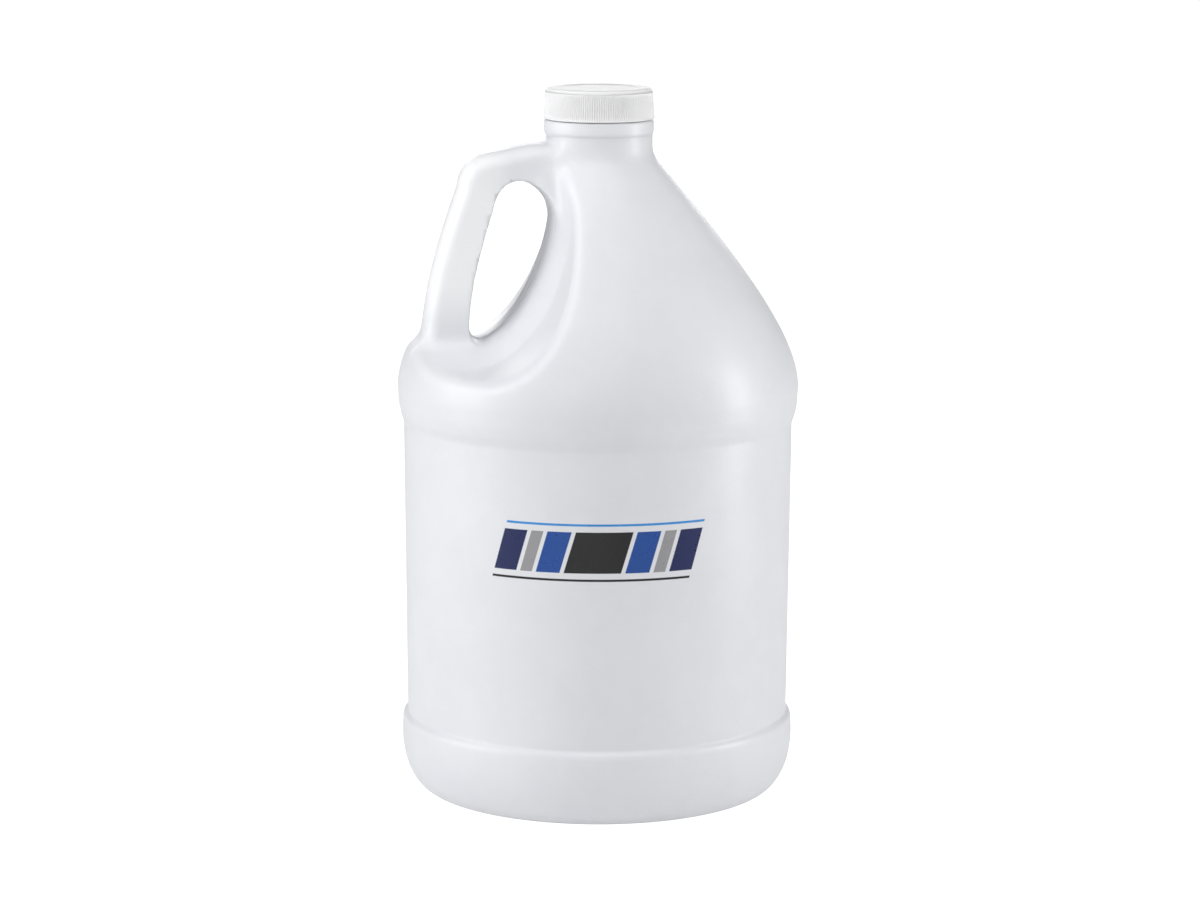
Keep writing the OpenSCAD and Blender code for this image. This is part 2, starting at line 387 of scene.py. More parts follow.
@dataclass
class Bottle:
    """The blown bottle with its hollow handle and its neck finish."""

    outline: TurnedOutline = field(default_factory=TurnedOutline)
    handle: HandleForm = field(default_factory=HandleForm)
    wall: float = 1.2
    top_z: float = 263.6
    handle_right: float = 8.0
    handle_low: float = 160.0
    pocket_blend: float = 4.6
    grip_blend: float = 4.0
    root_blend: float = 3.0
    root_z: tuple = (194.0, 180.0)
    eye_blend: float = 0.7
    probe: float = 0.03
    join_probe: float = 1.3
    join_x: tuple = (-36.0, -28.0, -12.0, -8.0)
    join_z: tuple = (230.0, 240.0)
    walk_steps: int = 6
    walk_max: float = 0.8
    handle_turn: tuple = (125.0, 235.0)
    fine_heights: tuple = (
        (-1.4, 3.0, 0.7), (3.4, 27.5, 2.3), (28.0, 33.4, 0.42), (34.0, 144.0, 5.5),
        (146.0, 152.6, 0.6), (153.4, 168.0, 1.6), (168.6, 262.5, 1.4),
    )
    coarse_heights: tuple = (
        (0.4, 12.0, 1.5), (13.0, 30.0, 4.0), (31.0, 150.0, 7.0), (152.0, 262.5, 2.2),
    )

    def depth(self, x: Array, y: Array, z: Array) -> Array:
        """Signed depth of the whole bottle, negative inside its outer skin.

        Args:
            x: Distances along the parting plane.
            y: Distances from the parting plane.
            z: Heights.

        Returns:
            The depth.
        """
        r = np.hypot(x, y)
        d = self.outline.depth(r, y, x, z)
        near = (x < self.handle_right) & (z > self.handle_low)
        if near.any():
            xn, yn, zn = x[near], y[near], z[near]
            body = smooth_max(d[near], -self.handle.pocket(xn, yn, zn), self.pocket_blend)
            high, low = self.root_z
            blend = self.grip_blend + self.root_blend * np.clip((high - zn) / (high - low), 0.0, 1.0)
            body = smooth_min(body, self.handle.grip(xn, yn, zn), blend)
            d[near] = smooth_max(body, -self.handle.eye(xn, yn, zn), self.eye_blend)
        return d

    def slope(self, p: Array, level: float, reach: float | Array) -> tuple[Array, Array]:
        """Depth above a level, and its gradient by central differences.

        Args:
            p: One point a row.
            level: The level.
            reach: Distance from each point to the places that are compared.

        Returns:
            The depth at each point, and the gradient, one a row.
        """
        x, y, z = p.T
        rise = np.stack([
            self.depth(x + reach, y, z) - self.depth(x - reach, y, z),
            self.depth(x, y + reach, z) - self.depth(x, y - reach, z),
            self.depth(x, y, z + reach) - self.depth(x, y, z - reach),
        ])
        return self.depth(x, y, z) - level, (rise / (2 * reach)).T

    def reach(self, p: Array) -> Array:
        """Reach for the normals, wider where the arm runs into the neck, so that the join is smooth."""
        join = np.interp(p[:, 0], self.join_x, (0.0, 1.0, 1.0, 0.0))
        return self.probe + self.join_probe * join * np.interp(p[:, 2], self.join_z, (0.0, 1.0))

    def net(self, level: float, turns: Array, radii: Array, heights: Array) -> tuple[Array, Array, Array]:
        """Nets the surface where the depth is a given level.

        A point is put in each cell of the cylindrical grid that the surface crosses, at the mean of the
        crossings on the cell's edges, and is then walked onto the surface along the gradient. The four
        cells round each crossed grid edge give one face.

        Args:
            level: The depth of the surface.
            turns: Angles of the grid, in radians, once round.
            radii: Radii of the grid.
            heights: Heights of the grid.

        Returns:
            Points, faces of four corners, and unit normals.
        """
        n, m, l = len(turns), len(radii), len(heights)
        tt, rr, zz = np.meshgrid(turns, radii, heights, indexing="ij")
        v = self.depth((rr * np.cos(tt)).ravel(), (rr * np.sin(tt)).ravel(), zz.ravel())
        v = v.reshape(n, m, l) - level
        v = np.concatenate([v, v[:1]], axis=0)
        inside = v < 0
        corners = [(a, b, c) for a in (0, 1) for b in (0, 1) for c in (0, 1)]
        total = sum(inside[a:n + a, b:m - 1 + b, c:l - 1 + c].astype(np.int8) for a, b, c in corners)
        cell = np.argwhere((total > 0) & (total < 8))
        number = np.full((n, m - 1, l - 1), -1)
        number[tuple(cell.T)] = np.arange(len(cell))
        value = {q: v[cell[:, 0] + q[0], cell[:, 1] + q[1], cell[:, 2] + q[2]] for q in corners}
        where = np.zeros((len(cell), 3))
        count = np.zeros(len(cell))
        for axis in range(3):
            for q in (c for c in corners if c[axis] == 0):
                other = tuple(1 if i == axis else q[i] for i in range(3))
                lo, hi = value[q], value[other]
                hit = (lo < 0) != (hi < 0)
                t = np.where(hit, lo / np.where(hit, lo - hi, 1.0), 0.0)
                spot = np.tile(np.array(q, float), (len(cell), 1))
                spot[:, axis] = t
                where += spot * hit[:, None]
                count += hit
        where = cell + where / count[:, None]
        angle = np.interp(where[:, 0], np.arange(n + 1), np.append(turns, turns[0] + 2 * math.pi))
        radius = np.interp(where[:, 1], np.arange(m), radii)
        height = np.interp(where[:, 2], np.arange(l), heights)
        p = np.stack([radius * np.cos(angle), radius * np.sin(angle), height], axis=1)
        for _ in range(self.walk_steps):
            d, g = self.slope(p, level, self.probe)
            step = (d / np.maximum((g * g).sum(1), 0.05))[:, None] * g
            p = p - np.clip(step, -self.walk_max, self.walk_max)
        _, g = self.slope(p, level, self.reach(p))
        normal = g / np.maximum(np.linalg.norm(g, axis=1), 1e-9)[:, None]
        faces = []
        for axis in range(3):
            step = np.eye(3, dtype=int)[axis]
            lo = inside[:n, :, :][:, :m - step[1], :l - step[2]]
            hi = inside[step[0]:n + step[0], step[1]:, step[2]:]
            rows = np.argwhere(lo != hi)
            u, w = (axis + 1) % 3, (axis + 2) % 3
            keep = np.ones(len(rows), bool)
            for other in (u, w):
                if other != 0:
                    keep &= (rows[:, other] > 0) & (rows[:, other] < (n, m, l)[other] - 1)
            rows = rows[keep]
            eu, ew = np.eye(3, dtype=int)[u], np.eye(3, dtype=int)[w]
            ring = [rows - eu - ew, rows - ew, rows, rows - eu]
            ids = np.stack([number[q[:, 0] % n, q[:, 1], q[:, 2]] for q in ring], axis=1)
            out = lo[tuple(rows.T)]
            ids = np.where(out[:, None], ids, ids[:, ::-1])
            faces.append(ids)
        faces = np.concatenate(faces)
        return p, faces[(faces >= 0).all(axis=1)], normal

    def levels(self, stretches: tuple) -> Array:
        """Heights of a grid, from stretches of start, end and step, closed off at the neck."""
        return np.concatenate([*(np.arange(*s) for s in stretches), [self.top_z - 0.6, self.top_z]])

    def skin(self) -> bpy.types.Object:
        """Makes the bottle's outer and inner skins and joins them at the neck."""
        start, end = self.handle_turn
        dense = np.radians(np.arange(start, end, 1.15))
        rest = np.radians(np.linspace(end, start + 360.0, 132, endpoint=False))
        p1, f1, n1 = self.net(0.0, np.concatenate([dense, rest]), np.arange(3.0, 83.0, 1.45),
                              self.levels(self.fine_heights))
        p2, f2, n2 = self.net(-self.wall, np.radians(np.arange(0.0, 360.0, 2.7)), np.arange(3.0, 83.0, 2.2),
                              self.levels(self.coarse_heights))
        LOG.info("skins: %d and %d faces", len(f1), len(f2))
        obj = mesh_object("jug_bottle", np.vstack([p1, p2]), [f1, f2[:, ::-1] + len(p1)])
        self.close(obj, np.vstack([n1, -n2]))
        return obj

    def build(self) -> bpy.types.Object:
        """Makes the skins and puts the neck finish on them, as one mesh."""
        obj = self.skin()
        verts, faces = NeckFinish().parts()
        ring = mesh_object("neck", verts, faces)
        aims = [tuple(c.vector) for c in obj.data.corner_normals]
        aims += [tuple(c.vector) for c in ring.data.corner_normals]
        bm = bmesh.new()
        bm.from_mesh(obj.data)
        bm.from_mesh(ring.data)
        bm.to_mesh(obj.data)
        bm.free()
        bpy.data.objects.remove(ring)
        obj.data.normals_split_custom_set(aims)
        return obj

    def close(self, obj: bpy.types.Object, normals: Array) -> None:
        """Closes the small holes at the poles and bridges the two skins at the neck."""
        bm = bmesh.new()
        bm.from_mesh(obj.data)
        layer = bm.verts.layers.float_vector.new("aim")
        bm.verts.ensure_lookup_table()
        for vert, aim in zip(bm.verts, normals.tolist()):
            vert[layer] = aim
        edges = [e for e in bm.edges if e.is_boundary]
        waist = 100.0 * MM
        low = [e for e in edges if e.verts[0].co.z < waist]
        high = [e for e in edges if e.verts[0].co.z >= waist]
        LOG.info("open edges: %d at the base, %d at the neck", len(low), len(high))
        bmesh.ops.holes_fill(bm, edges=low, sides=0)
        bmesh.ops.bridge_loops(bm, edges=high)
        fresh = [f for f in bm.faces if not f.smooth]
        bmesh.ops.recalc_face_normals(bm, faces=bm.faces[:])
        for f in fresh:
            f.smooth = True
        left = [e for e in bm.edges if not e.is_manifold]
        LOG.info("edges left open: %d", len(left))
        aims = [tuple(v[layer]) for v in bm.verts]
        bm.verts.layers.float_vector.remove(layer)
        bm.to_mesh(obj.data)
        bm.free()
        obj.data.normals_split_custom_set_from_vertices(aims)


def lathe(profile: Array, count: int, closed: bool, shape=None) -> tuple[Array, list]:
    """Turns an outline about the upright axis.

    A point at angle t on outline point (r, z) is (r cos t, r sin t, z), after shape has moved r. The sign
    of the outline's area tells which way round it runs, so that the faces always look outward.

    Args:
        profile: Radius and height of each outline point, in millimetres.
        count: Number of columns round the axis.
        closed: True where the outline is a loop clear of the axis, False where both its ends are on it.
        shape: Gives the change of radius from the grids of angle, radius, height and outline number.

    Returns:
        The points, and the blocks of faces.
    """
    r, z = profile.T
    if (r * np.roll(z, -1) - np.roll(r, -1) * z).sum() < 0:
        profile = profile[::-1]
    turn = np.arange(count) * 2 * math.pi / count
    tt, kk = np.meshgrid(turn, np.arange(len(profile)), indexing="ij")
    rr, zz = profile[kk, 0], profile[kk, 1]
    if shape is not None:
        rr = rr + shape(tt, rr, zz, kk)
    grid = np.stack([rr * np.cos(tt), rr * np.sin(tt), zz], axis=2)
    rows = len(profile)
    col = np.arange(count)[:, None]
    nxt = (col + 1) % count
    if closed:
        row = np.arange(rows)[None, :]
        up = (row + 1) % rows
        quads = np.stack([col * rows + row, nxt * rows + row, nxt * rows + up, col * rows + up], axis=2)
        return grid.reshape(-1, 3), [quads.reshape(-1, 4)]
    inner = grid[:, 1:-1].reshape(-1, 3)
    n = rows - 2
    row = np.arange(n - 1)[None, :]
    quads = np.stack([col * n + row, nxt * n + row, nxt * n + row + 1, col * n + row + 1], axis=2)
    first, last = count * n, count * n + 1
    c, d = col[:, 0], nxt[:, 0]
    start = np.stack([np.full(count, first), d * n, c * n], axis=1)
    end = np.stack([np.full(count, last), c * n + n - 1, d * n + n - 1], axis=1)
    poles = np.array([[0.0, 0.0, profile[0, 1]], [0.0, 0.0, profile[-1, 1]]])
    return np.vstack([inner, poles]), [quads.reshape(-1, 4), start, end]


def rounded(corners: list, steps: int = 4) -> Array:
    """Rounds the corners of an outline.

    Args:
        corners: Each a radius, a height and the size of the rounding, in millimetres.
        steps: Number of points on each rounding.

    Returns:
        The outline's points.
    """
    pts = np.array(corners, float)
    out = []
    for i, (x, z, size) in enumerate(pts):
        if size <= 0 or i in (0, len(pts) - 1):
            out.append([x, z])
            continue
        here = np.array([x, z])
        before, after = pts[i - 1, :2] - here, pts[i + 1, :2] - here
        a = here + before / np.linalg.norm(before) * size
        b = here + after / np.linalg.norm(after) * size
        t = np.linspace(0, 1, steps)[:, None]
        out.extend((a * (1 - t) ** 2 + here * 2 * t * (1 - t) + b * t**2).tolist())
    return np.array(out)


def filled(a: tuple, b: tuple, step: float) -> list:
    """Points between two outline points, a step apart, without the ends and with no rounding."""
    count = max(int(math.hypot(b[0] - a[0], b[1] - a[1]) / step), 1)
    t = np.linspace(0, 1, count + 1)[1:-1]
    return [(a[0] + (b[0] - a[0]) * s, a[1] + (b[1] - a[1]) * s, 0.0) for s in t]


@dataclass(frozen=True)
class ScrewBead:
    """A right-handed thread bead on a turned wall, in millimetres."""

    start_z: float
    first: float
    last: float
    height: float
    lead: float = 4.23
    crest: float = 0.35
    flank: float = 0.65
    run_out: float = 0.10

    def rise(self, turn: Array, z: Array) -> Array:
        """Height of the bead: a trapezium across the helix, faded at both ends.

        Args:
            turn: Angles in radians.
            z: Heights.

        Returns:
            The height of the bead at each place.
        """
        share = turn / (2 * math.pi)
        place = (z - self.start_z) / self.lead
        whole = np.round(place - share)
        along = whole + share
        off = np.abs(place - along) * self.lead
        across = np.clip((self.crest + self.flank - off) / self.flank, 0.0, 1.0)
        ends = (np.clip((along - self.first) / self.run_out, 0, 1)
                * np.clip((self.last - along) / self.run_out, 0, 1))
        return self.height * across * across * (3 - 2 * across) * ends


@dataclass
class NeckFinish:
    """The threaded neck with its collar, which is one with the bottle."""

    bore_r: float = 16.2
    finish_r: float = 18.2
    collar_r: float = 21.7
    collar_z: float = 261.8
    collar_top_z: float = 268.12
    lip_z: float = 278.0
    root_z: float = 258.5
    root_r: float = 19.6
    sleeve_r: float = 20.3
    columns: int = 132
    bead: ScrewBead = ScrewBead(start_z=269.3, first=0.0, last=1.55, height=0.8)

    def parts(self) -> tuple[Array, list]:
        """Turns the finish's closed outline, with the bead on its outer wall."""
        corners = [
            (self.root_r, self.root_z, 0.0), (self.sleeve_r, self.root_z, 0.0),
            (self.sleeve_r, self.collar_z - 0.5, 0.0), (self.sleeve_r + 0.7, self.collar_z, 0.3),
            (self.collar_r, self.collar_z + 1.4, 0.8),
            (self.collar_r, self.collar_top_z, 0.9), (self.finish_r + 0.1, self.collar_top_z, 0.3),
            *filled((self.finish_r, self.collar_top_z + 0.8), (self.finish_r, self.lip_z - 0.9), 0.42),
            (self.finish_r, self.lip_z, 0.5), (self.bore_r + 0.2, self.lip_z, 0.4),
            (self.bore_r, self.lip_z - 1.2, 0.3), (self.bore_r, self.collar_z, 0.8),
            (self.root_r - 0.2, self.collar_z - 1.6, 0.6), (self.root_r, self.root_z, 0.0),
        ]
        outline = rounded(corners)[:-1]

        def threaded(turn: Array, r: Array, z: Array, _row: Array) -> Array:
            """Puts the bead on the outer wall only."""
            return np.where(np.abs(r - self.finish_r) < 0.01, self.bead.rise(turn, z), 0.0)

        return lathe(outline, self.columns, True, threaded)


@dataclass
class ScrewCap:
    """The ribbed cap with its plain lower band and the bead inside its skirt."""

    top_z: float = 280.6
    low_z: float = 268.4
    r_low: float = 21.9
    r_top: float = 21.1
    bore_r: float = 19.6
    plate_t: float = 1.6
    band_h: float = 0.9
    rim_h: float = 2.2
    rim_rounding: float = 1.6
    ribs: int = 150
    rib_h: float = 0.55
    rib_fade: float = 0.5
    per_rib: int = 6
    bead: ScrewBead = ScrewBead(start_z=271.415, first=-0.25, last=1.15, height=0.85)

    def build(self) -> bpy.types.Object:
        """Turns the cap's outline and cuts the ribs into its skirt."""
        rib_low, rib_top = self.low_z + self.band_h, self.top_z - self.rim_h
        under = self.top_z - self.plate_t

        def side(z: float) -> float:
            """Radius of the tapered skirt at a height."""
            return self.r_low + (self.r_top - self.r_low) * (z - self.low_z) / (self.top_z - self.low_z)

        corners = [
            (0.0, self.top_z - 0.22, 0.0), (9.0, self.top_z - 0.24, 0.0), (14.6, self.top_z - 0.27, 0.4),
            (15.2, self.top_z - 0.05, 0.35), (17.5, self.top_z, 0.0),
            (self.r_top + 0.02, self.top_z, self.rim_rounding),
            (side(rib_top + 0.5), rib_top + 0.5, 0.15),
            *[(side(z), z, 0.0) for z in np.linspace(rib_top + 0.05, rib_low + 0.05, 9)],
            (side(rib_low - 0.3), rib_low - 0.3, 0.0), (self.r_low, self.low_z + 0.6, 0.0),
            (self.r_low, self.low_z, 0.35), (self.bore_r + 0.5, self.low_z, 0.2),
            (self.bore_r, self.low_z + 0.7, 0.2),
            *filled((self.bore_r, self.low_z + 1.0), (self.bore_r, under - 0.3), 0.45),
            (self.bore_r, under, 0.25), (17.0, under, 0.0), (8.0, under, 0.0), (0.0, under, 0.0),
        ]
        outline = rounded(corners)

        def ribbed(turn: Array, r: Array, z: Array, _row: Array) -> Array:
            """Sinks the gaps between ribs outside and raises the bead inside."""
            wave = 0.5 - 0.5 * np.cos(turn * self.ribs)
            half = self.rib_fade / 2
            fade = (np.clip((rib_top + half - z) / self.rib_fade, 0, 1)
                    * np.clip((z - rib_low + half) / self.rib_fade, 0, 1))
            outside = np.where(r > self.r_top - 0.25, -self.rib_h * wave**1.3 * fade, 0.0)
            inside = np.where(np.abs(r - self.bore_r) < 0.01, -self.bead.rise(turn, z), 0.0)
            return outside + inside

        verts, faces = lathe(outline, self.ribs * self.per_rib, False, ribbed)
        return mesh_object("cap_ribbed", verts, faces)


@dataclass
class CapLiner:
    """The foam disc that seals the cap on the lip."""

    low_z: float = 278.02
    high_z: float = 278.98
    radius: float = 19.2
    dent: float = 0.01
    columns: int = 128

    def build(self) -> bpy.types.Object:
        """Turns the disc, with the faint ring that the lip presses into its lower face."""
        dented = self.low_z + self.dent
        corners = [
            (0.0, self.high_z, 0.0), (10.0, self.high_z, 0.0), (self.radius, self.high_z, 0.25),
            (self.radius, self.low_z, 0.25), (18.6, self.low_z, 0.0), (18.3, dented, 0.0),
            (16.1, dented, 0.0), (15.6, self.low_z, 0.0), (8.0, self.low_z, 0.0), (0.0, self.low_z, 0.0),
        ]
        verts, faces = lathe(rounded(corners), self.columns, False)
        return mesh_object("cap_liner_foam", verts, faces)


class NodeDesk:
    """Short hand for wiring one node tree."""

    def __init__(self, tree: bpy.types.NodeTree) -> None:
        """Keeps the tree that the nodes go into."""
        self.tree = tree

    def add(self, kind: str, **values) -> bpy.types.Node:
        """Adds a node and sets its own properties."""
        node = self.tree.nodes.new(kind)
        for key, value in values.items():
            setattr(node, key, value)
        return node

    def put(self, socket: bpy.types.NodeSocket, value) -> None:
        """Links a socket to another, or sets its value."""
        if isinstance(value, bpy.types.NodeSocket):
            self.tree.links.new(value, socket)
        else:
            socket.default_value = value

    def math(self, what: str, *values, clamp: bool = False) -> bpy.types.NodeSocket:
        """One Math node on the given values."""
        node = self.add("ShaderNodeMath", operation=what, use_clamp=clamp)
        for socket, value in zip(node.inputs, values):
            self.put(socket, value)
        return node.outputs[0]

    def span(self, value, low: float, high: float, to_low: float = 0.0,
             to_high: float = 1.0) -> bpy.types.NodeSocket:
        """A smooth step of a value from one range to another."""
        node = self.add("ShaderNodeMapRange", interpolation_type="SMOOTHSTEP")
        for socket, item in zip(node.inputs, (value, low, high, to_low, to_high)):
            self.put(socket, item)
        return node.outputs[0]

    def noise(self, vector, scale, detail: float, rough: float) -> bpy.types.NodeSocket:
        """The value of a noise texture."""
        node = self.add("ShaderNodeTexNoise")
        for name, value in (("Vector", vector), ("Scale", scale), ("Detail", detail), ("Roughness", rough)):
            self.put(node.inputs[name], value)
        return node.outputs[0]

    def mix(self, share, a, b) -> bpy.types.NodeSocket:
        """Mixes two colours."""
        node = self.add("ShaderNodeMix", data_type="RGBA")
        for name, value in (("Factor", share), ("A", a), ("B", b)):
            socket = next(s for s in node.inputs if s.name == name and s.enabled)
            self.put(socket, value)
        return next(s for s in node.outputs if s.enabled)


def moulded_skin() -> bpy.types.NodeTree:
    """The group that jug, cap and liner share: fine grain, and a slow haze that also varies the roughness.

    Returns:
        A group with inputs for the place, the grain, the haze and the roughness, and with Height, Haze and
        Roughness outputs.
    """
    tree = bpy.data.node_groups.new("moulded_skin", "ShaderNodeTree")
    for name, kind, value in (("Vector", "NodeSocketVector", None), ("Grain Scale", "NodeSocketFloat", 900.0),
                              ("Grain", "NodeSocketFloat", 0.5), ("Haze Scale", "NodeSocketFloat", 20.0),
                              ("Rough", "NodeSocketFloat", 0.35), ("Rough Spread", "NodeSocketFloat", 0.08)):
        socket = tree.interface.new_socket(name, in_out="INPUT", socket_type=kind)
        if value is not None:
            socket.default_value = value
    for name in ("Height", "Haze", "Roughness"):
        tree.interface.new_socket(name, in_out="OUTPUT", socket_type="NodeSocketFloat")
    desk = NodeDesk(tree)
    given = desk.add("NodeGroupInput").outputs
    out = desk.add("NodeGroupOutput").inputs
    fine = desk.noise(given["Vector"], given["Grain Scale"], 2.0, 0.6)
    slow = desk.noise(given["Vector"], given["Haze Scale"], 3.0, 0.55)
    patch = desk.noise(given["Vector"], desk.math("MULTIPLY", given["Haze Scale"], 5.0), 4.0, 0.65)
    desk.put(out["Height"], desk.math("MULTIPLY", desk.math("SUBTRACT", fine, 0.5), given["Grain"]))
    haze = desk.math("ADD", desk.math("MULTIPLY", slow, 0.7), desk.math("MULTIPLY", patch, 0.3))
    desk.put(out["Haze"], haze)
    spread = desk.math("MULTIPLY", desk.math("SUBTRACT", haze, 0.5), given["Rough Spread"])
    desk.put(out["Roughness"], desk.math("ADD", given["Rough"], spread, clamp=True))
    return tree


@dataclass(frozen=True)
class PlasticFinish:
    """Numbers of one moulded plastic.

    Tint and shade are the colours between which the haze mixes. The handle's lighter colour is a painted
    highlight, standing in for the light that the handle catches. Rough and spread give the roughness, and
    bump_m is the height of the grain. Inner is the share of light that wanders under the skin, as far as
    inner_m.
    """

    name: str
    tint: tuple
    shade: tuple
    rough: float
    spread: float
    grain_scale: float
    grain: float
    haze_scale: float
    bump_m: float
    inner: float
    inner_m: float
    gloss: float = 0.5
    # painted highlight: a lighter colour laid on the handle for the light that it catches
    handle_highlight: tuple = (0.88, 0.885, 0.90, 1)


JUG_FINISH = PlasticFinish(
    name="blown_hdpe", tint=(0.775, 0.783, 0.815, 1), shade=(0.745, 0.754, 0.79, 1), rough=0.36, spread=0.10,
    grain_scale=700.0, grain=0.5, haze_scale=22.0, bump_m=0.00012, inner=0.15, inner_m=0.006)
CAP_FINISH = PlasticFinish(
    name="moulded_white", tint=(0.85, 0.85, 0.855, 1), shade=(0.82, 0.82, 0.828, 1), rough=0.42, spread=0.08,
    grain_scale=1500.0, grain=0.4, haze_scale=60.0, bump_m=0.00006, inner=0.12, inner_m=0.002)
FOAM_FINISH = PlasticFinish(
    name="foam_liner", tint=(0.80, 0.80, 0.76, 1), shade=(0.70, 0.70, 0.66, 1), rough=0.75, spread=0.10,
    grain_scale=2600.0, grain=1.0, haze_scale=160.0, bump_m=0.00025, inner=0.0, inner_m=0.001, gloss=0.3)
BAR = (-6.5, 9.5)


class Ink(Enum):
    """The printing inks, as linear colours."""

    NAVY = (0.002, 0.010, 0.085, 1)
    BLUE = (0.002, 0.060, 0.30, 1)
    SKY = (0.03, 0.26, 0.66, 1)
    SILVER = (0.30, 0.30, 0.31, 1)
    BLACK = (0.002, 0.002, 0.003, 1)


class Stripe(Enum):
    """The printed stripes on the panel: left, right, low and high in millimetres, and the ink."""

    MIDDLE = (-11.0, 11.0, *BAR, Ink.BLACK)
    LEFT_BLUE = (-22.0, -12.6, *BAR, Ink.BLUE)
    RIGHT_BLUE = (12.6, 22.0, *BAR, Ink.BLUE)
    LEFT_SILVER = (-28.4, -23.6, *BAR, Ink.SILVER)
    RIGHT_SILVER = (23.6, 28.4, *BAR, Ink.SILVER)
    LEFT_NAVY = (-39.5, -30.0, *BAR, Ink.NAVY)
    RIGHT_NAVY = (30.0, 39.5, *BAR, Ink.NAVY)
    UPPER_RULE = (-39.5, 39.5, 11.8, 12.7, Ink.SKY)
    LOWER_RULE = (-39.5, 39.5, -9.7, -8.8, Ink.BLACK)


@dataclass
class PlasticPaint:
    """Builds the plastic materials from the shared group."""

    group: bpy.types.NodeTree
    print_turn: float = math.radians(-8.0)
    print_z: float = 108.0
    print_slant: float = 0.30
    ink_edge: float = 0.12
    ink_rise: float = 0.25
    ink_gloss: float = 0.08
    panel_r: float = 76.7
    ior: float = 1.52
    seam_m: tuple = (0.00015, 0.00045)
    seam_rise: float = 1.6
    # bounds of the painted highlight on the handle, in metres along x and up z
    handle_highlight_x: tuple = (-0.034, -0.046)
    handle_highlight_z: tuple = (0.186, 0.206)

    def base(self, finish: PlasticFinish) -> tuple[bpy.types.Material, NodeDesk, dict]:
        """Makes a material with the shared grain, haze and roughness.

        Args:
            finish: The numbers of the plastic.

        Returns:
            The material, its desk, and the sockets that a finish may add to.
        """
        mat = bpy.data.materials.new(finish.name)
        mat.use_nodes = True
        mat.node_tree.nodes.clear()
        desk = NodeDesk(mat.node_tree)
        out = desk.add("ShaderNodeOutputMaterial")
        shader = desk.add("ShaderNodeBsdfPrincipled")
        desk.tree.links.new(shader.outputs[0], out.inputs[0])
        where = desk.add("ShaderNodeTexCoord").outputs["Object"]
        skin = desk.add("ShaderNodeGroup", node_tree=self.group)
        for name, value in (("Vector", where), ("Grain Scale", finish.grain_scale), ("Grain", finish.grain),
                            ("Haze Scale", finish.haze_scale), ("Rough", finish.rough),
                            ("Rough Spread", finish.spread)):
            desk.put(skin.inputs[name], value)
        for name, value in (("Subsurface Weight", finish.inner), ("Subsurface Scale", finish.inner_m),
                            ("Subsurface Radius", (1.0, 1.0, 1.0)), ("Specular IOR Level", finish.gloss),
                            ("IOR", self.ior)):
            shader.inputs[name].default_value = value
        colour = desk.mix(desk.span(skin.outputs["Haze"], 0.35, 0.65), finish.shade, finish.tint)
        parts = {"shader": shader, "where": where, "colour": colour, "height": skin.outputs["Height"],
                 "rough": skin.outputs["Roughness"]}
        return mat, desk, parts

    def close(self, desk: NodeDesk, parts: dict, depth: float) -> None:
        """Wires colour, roughness and relief into the shader."""
        bump = desk.add("ShaderNodeBump")
        into = parts["shader"].inputs
        for socket, value in ((bump.inputs["Strength"], 1.0), (bump.inputs["Distance"], depth),
                              (bump.inputs["Height"], parts["height"]), (into["Base Color"], parts["colour"]),
                              (into["Roughness"], parts["rough"]), (into["Normal"], bump.outputs[0])):
            desk.put(socket, value)

    def plain(self, finish: PlasticFinish) -> bpy.types.Material:
        """A plastic with nothing but the shared detail."""
        mat, desk, parts = self.base(finish)
        self.close(desk, parts, finish.bump_m)
        return mat

    def stripe(self, desk: NodeDesk, across, up, stripe: Stripe) -> bpy.types.NodeSocket:
        """Mask of one printed stripe: a slanted box with crisp edges."""
        left, right, low, high, _ = stripe.value
        shifted = desk.math("SUBTRACT", across, desk.math("MULTIPLY", up, self.print_slant))
        past = []
        for place, start, end in ((shifted, left, right), (up, low, high)):
            off = desk.math("ABSOLUTE", desk.math("SUBTRACT", place, (start + end) / 2))
            past.append(desk.math("SUBTRACT", off, (end - start) / 2))
        return desk.span(desk.math("MAXIMUM", *past), -self.ink_edge, self.ink_edge, 1.0, 0.0)

    def jug(self, finish: PlasticFinish) -> bpy.types.Material:
        """The blown plastic with its parting line, the printed stripes on the panel, and a painted highlight
        on the handle.
        """
        mat, desk, parts = self.base(finish)
        split = desk.add("ShaderNodeSeparateXYZ")
        desk.put(split.inputs[0], parts["where"])
        x, y, z = split.outputs
        seam = desk.span(desk.math("ABSOLUTE", y), *self.seam_m, 1.0, 0.0)
        turn = desk.math("ARCTAN2", x, desk.math("MULTIPLY", y, -1.0))
        across = desk.math("MULTIPLY", desk.math("SUBTRACT", turn, self.print_turn), self.panel_r)
        up = desk.math("SUBTRACT", desk.math("MULTIPLY", z, 1000.0), self.print_z)
        # painted highlight: the handle, far left and high, gets a lighter colour that stands in for the light
        # falling on it
        handle_highlight = desk.math("MULTIPLY", desk.span(x, *self.handle_highlight_x), desk.span(z, *self.handle_highlight_z))
        parts["colour"] = desk.mix(handle_highlight, parts["colour"], finish.handle_highlight)
        ink = None
        for stripe in Stripe:
            mask = self.stripe(desk, across, up, stripe)
            parts["colour"] = desk.mix(mask, parts["colour"], stripe.value[-1].value)
            ink = mask if ink is None else desk.math("MAXIMUM", ink, mask)
        parts["rough"] = desk.math("SUBTRACT", parts["rough"], desk.math("MULTIPLY", ink, self.ink_gloss))
        relief = desk.math("ADD", parts["height"], desk.math("MULTIPLY", seam, self.seam_rise))
        parts["height"] = desk.math("ADD", relief, desk.math("MULTIPLY", ink, self.ink_rise))
        self.close(desk, parts, finish.bump_m)
        return mat


